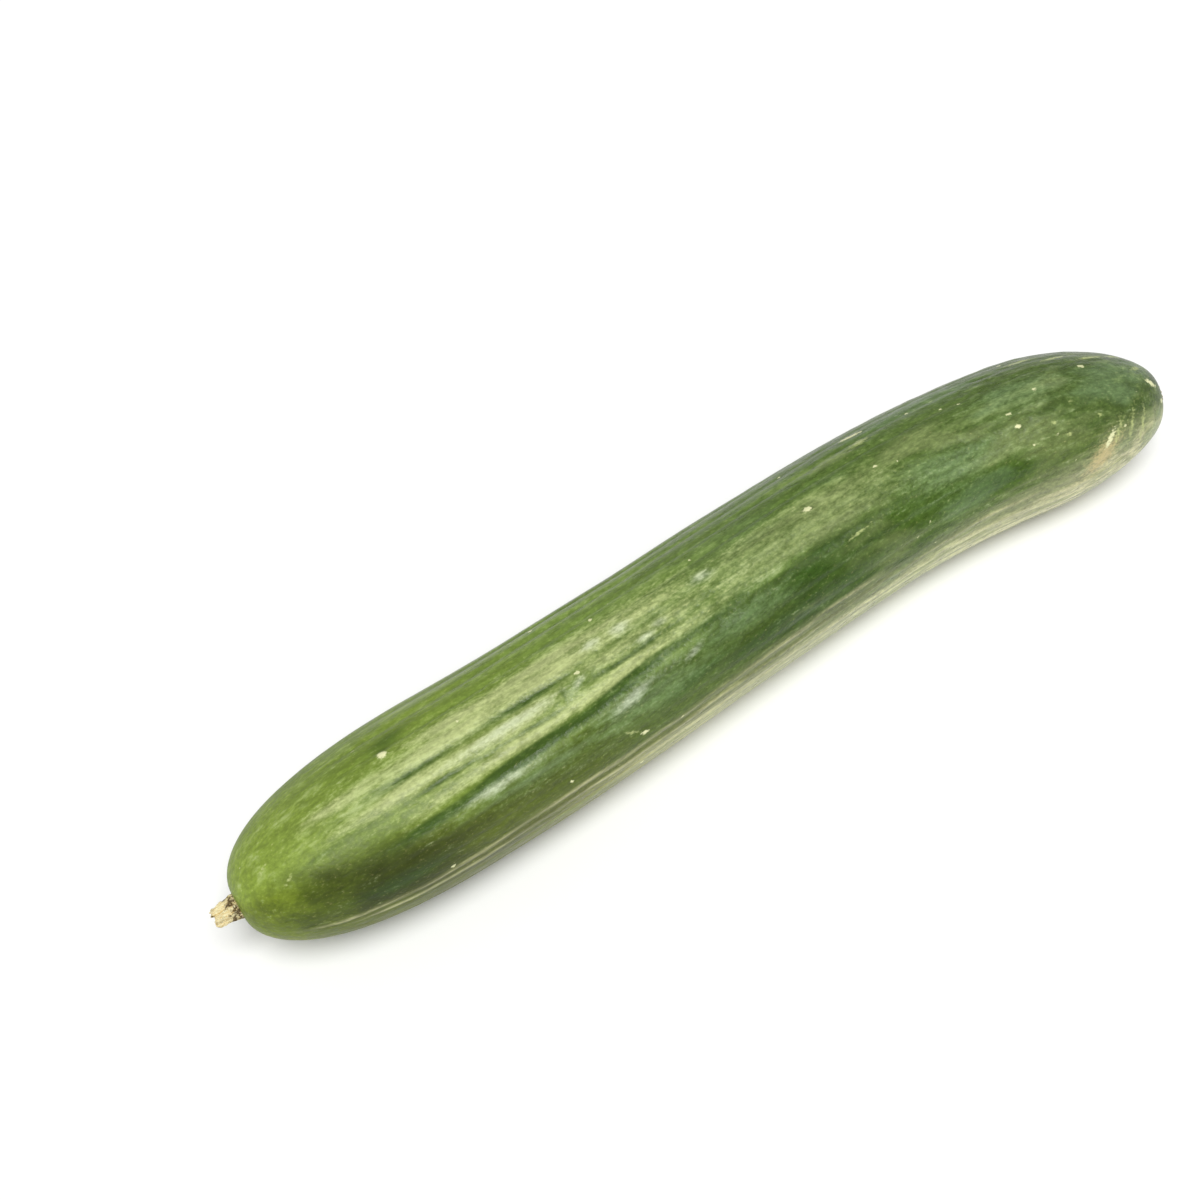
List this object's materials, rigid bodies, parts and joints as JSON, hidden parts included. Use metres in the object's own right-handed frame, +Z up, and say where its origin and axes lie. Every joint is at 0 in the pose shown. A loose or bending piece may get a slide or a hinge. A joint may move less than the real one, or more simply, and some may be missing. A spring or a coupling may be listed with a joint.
{
  "type": "cucumber",
  "caption": "Long, slightly bowed slicing cucumber lying on its side, with ridged skin, a withered blossom on one tip and a snapped stalk stub at the other.",
  "frame": {"origin": "on the flat resting spot under the middle of the fruit's length", "axes": "+X along the fruit towards the stalk end, +Z up from the surface that the fruit lies on, +Y completes the right-handed frame"},
  "size_m": [0.3082, 0.0598, 0.0479],
  "materials": {
    "skin": "satin",
    "husk": "matte",
    "cork": "matte"
  },
  "bodies": {
    "root": {"fruit": "skin", "dried_blossom": "husk", "stalk_stub": "cork"}
  },
  "joints": []
}
